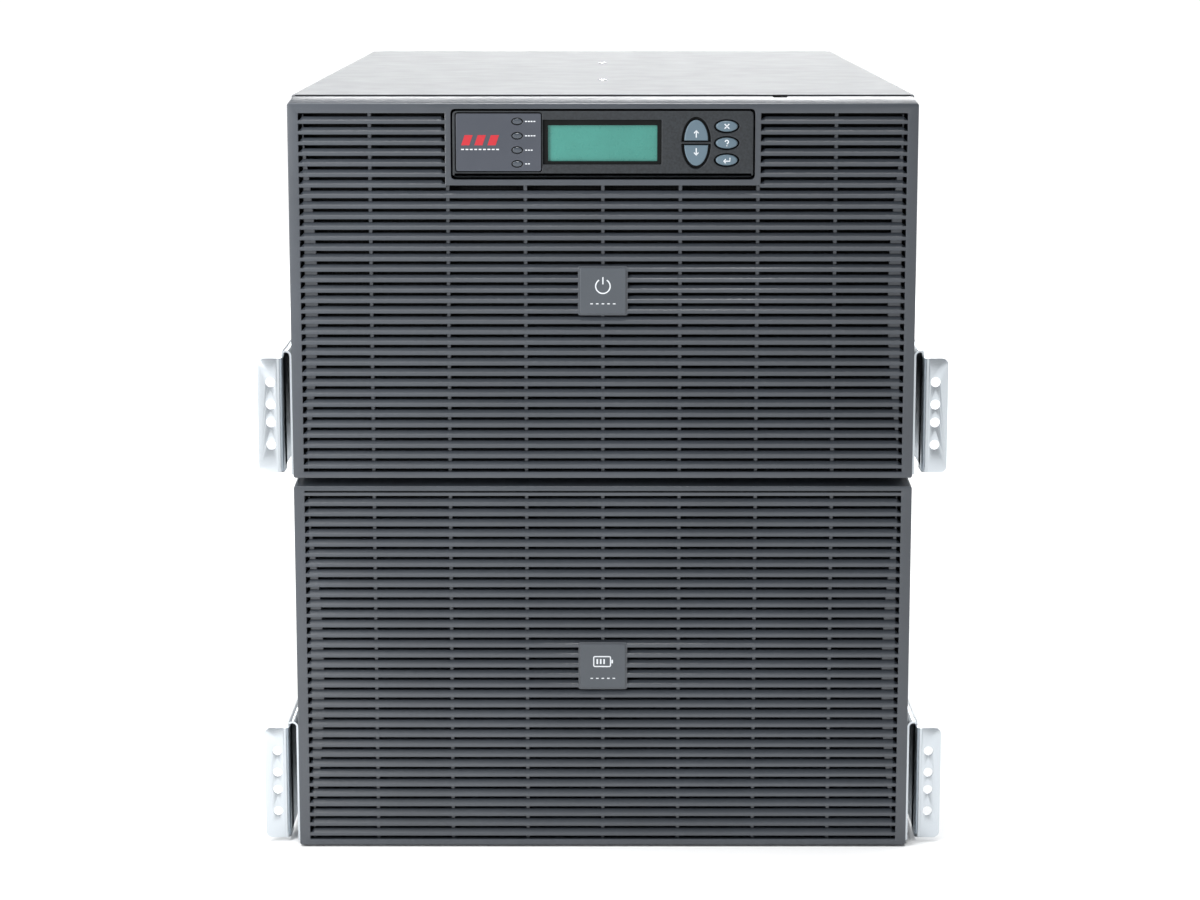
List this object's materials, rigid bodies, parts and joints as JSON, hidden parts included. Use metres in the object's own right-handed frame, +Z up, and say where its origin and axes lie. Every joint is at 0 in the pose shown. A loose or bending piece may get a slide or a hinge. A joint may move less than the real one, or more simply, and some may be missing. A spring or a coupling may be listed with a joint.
{
  "type": "rackmount ups",
  "caption": "Rack-mounted uninterruptible power supply with louvered front bezels, a display with keys, a battery unit with pull-out trays, and telescoping rack rails.",
  "frame": {"origin": "centre of the bounding box's bottom face, on the surface that the stack stands on", "axes": "+Z up, the front faces -Y, +X to the right as seen from the front"},
  "size_m": [0.4826, 0.76, 0.5321],
  "materials": {
    "bezel_plastic": "fine-textured charcoal moulded plastic",
    "badge_plastic": "smooth satin plate",
    "display_plastic": "textured dark charcoal plastic",
    "label_plastic": "smooth blue-grey printed film",
    "led_lens": "dark clear light pipe",
    "lcd_glass": "green backlit display window",
    "lcd_frame": "black frame",
    "circuit_board": "green solder mask",
    "key_rubber": "blue-grey soft keys",
    "sheet_light": "light grey powder coat",
    "sheet_steel": "galvanised sheet",
    "battery_case": "grey cartridge",
    "black_steel": "black powder coat",
    "aluminium": "extruded",
    "capacitor_sleeve": "shrink sleeve",
    "copper": "enamelled copper winding",
    "fan_plastic": "black glass-filled plastic",
    "socket_plastic": "black moulded",
    "breaker_plastic": "black moulded",
    "lever_plastic": "grey lever",
    "zinc": "bright zinc-plated steel"
  },
  "bodies": {
    "chassis": {"battery_base_pan": "sheet_steel", "battery_left_side": "sheet_light", "battery_right_side": "sheet_light", "battery_top_cover": "sheet_light", "battery_rear_panel": "sheet_light", "battery_shelf": "sheet_steel", "battery_backplane": "circuit_board", "battery_breaker": "breaker_plastic", "battery_pack_socket": "socket_plastic", "ups_base_pan": "sheet_steel", "ups_left_side": "sheet_light", "ups_right_side": "sheet_light", "ups_top_cover": "sheet_light", "ups_rear_panel": "sheet_light", "ups_front_panel": "black_steel", "display_housing": "display_plastic", "display_label_plate": "label_plastic", "led_light_pipes": "led_lens", "lcd_window": "lcd_glass", "lcd_module": "lcd_frame", "power_board": "circuit_board", "heat_sink": "aluminium", "bus_capacitor_bank": "capacitor_sleeve", "filter_inductor": "copper", "fan_housing": "fan_plastic", "ups_input_breaker": "breaker_plastic", "ups_battery_socket": "socket_plastic", "outlet_block": "socket_plastic", "network_card": "sheet_steel", "terminal_cover": "sheet_light", "rail_front_lower_left": "zinc", "rail_front_lower_right": "zinc", "rail_front_upper_left": "zinc", "rail_front_upper_right": "zinc"},
    "ups_bezel": {"ups_front_bezel": "bezel_plastic", "ups_bezel_badge": "badge_plastic"},
    "battery_bezel": {"battery_front_bezel": "bezel_plastic", "battery_bezel_badge": "badge_plastic"},
    "tray_1": {"battery_tray_1": "battery_case", "tray_front_1": "black_steel"},
    "tray_2": {"battery_tray_2": "battery_case", "tray_front_2": "black_steel"},
    "tray_3": {"battery_tray_3": "battery_case", "tray_front_3": "black_steel"},
    "tray_4": {"battery_tray_4": "battery_case", "tray_front_4": "black_steel"},
    "up_key": {"key_up": "key_rubber"},
    "down_key": {"key_down": "key_rubber"},
    "escape_key": {"key_escape": "key_rubber"},
    "help_key": {"key_help": "key_rubber"},
    "enter_key": {"key_enter": "key_rubber"},
    "rotor_1": {"fan_rotor_1": "fan_plastic"},
    "rotor_2": {"fan_rotor_2": "fan_plastic"},
    "rotor_3": {"fan_rotor_3": "fan_plastic"},
    "input_lever": {"ups_input_breaker_lever": "lever_plastic"},
    "battery_lever": {"battery_breaker_lever": "lever_plastic"},
    "rear_rail_lower_left": {"rail_rear_lower_left": "zinc"},
    "rear_rail_lower_right": {"rail_rear_lower_right": "zinc"},
    "rear_rail_upper_left": {"rail_rear_upper_left": "zinc"},
    "rear_rail_upper_right": {"rail_rear_upper_right": "zinc"}
  },
  "joints": [
    {"name": "ups_bezel_pull", "type": "slide", "parent": "chassis", "child": "ups_bezel", "axis": [0, -1, 0], "range_m": [0, 0.08]},
    {"name": "battery_bezel_pull", "type": "slide", "parent": "chassis", "child": "battery_bezel", "axis": [0, -1, 0], "range_m": [0, 0.52]},
    {"name": "tray_1_slide", "type": "slide", "parent": "chassis", "child": "tray_1", "axis": [0, -1, 0], "range_m": [0, 0.45]},
    {"name": "tray_2_slide", "type": "slide", "parent": "chassis", "child": "tray_2", "axis": [0, -1, 0], "range_m": [0, 0.45]},
    {"name": "tray_3_slide", "type": "slide", "parent": "chassis", "child": "tray_3", "axis": [0, -1, 0], "range_m": [0, 0.45]},
    {"name": "tray_4_slide", "type": "slide", "parent": "chassis", "child": "tray_4", "axis": [0, -1, 0], "range_m": [0, 0.45]},
    {"name": "up_key_press", "type": "slide", "parent": "chassis", "child": "up_key", "axis": [0, 1, 0], "range_m": [0, 0.001], "stiffness_N_per_m": 400},
    {"name": "down_key_press", "type": "slide", "parent": "chassis", "child": "down_key", "axis": [0, 1, 0], "range_m": [0, 0.001], "stiffness_N_per_m": 400},
    {"name": "escape_key_press", "type": "slide", "parent": "chassis", "child": "escape_key", "axis": [0, 1, 0], "range_m": [0, 0.001], "stiffness_N_per_m": 400},
    {"name": "help_key_press", "type": "slide", "parent": "chassis", "child": "help_key", "axis": [0, 1, 0], "range_m": [0, 0.001], "stiffness_N_per_m": 400},
    {"name": "enter_key_press", "type": "slide", "parent": "chassis", "child": "enter_key", "axis": [0, 1, 0], "range_m": [0, 0.001], "stiffness_N_per_m": 400},
    {"name": "rotor_1_spin", "type": "hinge", "parent": "chassis", "child": "rotor_1", "pos_m": [-0.155, 0.357, 0.4667], "axis": [0, 1, 0], "continuous": true},
    {"name": "rotor_2_spin", "type": "hinge", "parent": "chassis", "child": "rotor_2", "pos_m": [-0.052, 0.357, 0.4667], "axis": [0, 1, 0], "continuous": true},
    {"name": "rotor_3_spin", "type": "hinge", "parent": "chassis", "child": "rotor_3", "pos_m": [0.051, 0.357, 0.4667], "axis": [0, 1, 0], "continuous": true},
    {"name": "input_lever_throw", "type": "hinge", "parent": "chassis", "child": "input_lever", "pos_m": [0.145, 0.37, 0.4167], "axis": [-1, 0, 0], "range_deg": [0, 40]},
    {"name": "battery_lever_throw", "type": "hinge", "parent": "chassis", "child": "battery_lever", "pos_m": [0.12, 0.37, 0.2], "axis": [-1, 0, 0], "range_deg": [0, 40]},
    {"name": "rear_rail_lower_left_extend", "type": "slide", "parent": "chassis", "child": "rear_rail_lower_left", "axis": [0, 1, 0], "range_m": [0, 0.17]},
    {"name": "rear_rail_lower_right_extend", "type": "slide", "parent": "chassis", "child": "rear_rail_lower_right", "axis": [0, 1, 0], "range_m": [0, 0.17]},
    {"name": "rear_rail_upper_left_extend", "type": "slide", "parent": "chassis", "child": "rear_rail_upper_left", "axis": [0, 1, 0], "range_m": [0, 0.17]},
    {"name": "rear_rail_upper_right_extend", "type": "slide", "parent": "chassis", "child": "rear_rail_upper_right", "axis": [0, 1, 0], "range_m": [0, 0.17]}
  ],
  "couplings": [
    {"joint": "battery_bezel_pull", "follows": "tray_1_slide", "ratio": 1.15},
    {"joint": "tray_2_slide", "follows": "tray_1_slide", "ratio": 0.7},
    {"joint": "tray_3_slide", "follows": "tray_1_slide", "ratio": 0.45},
    {"joint": "tray_4_slide", "follows": "tray_1_slide", "ratio": 0.2}
  ]
}
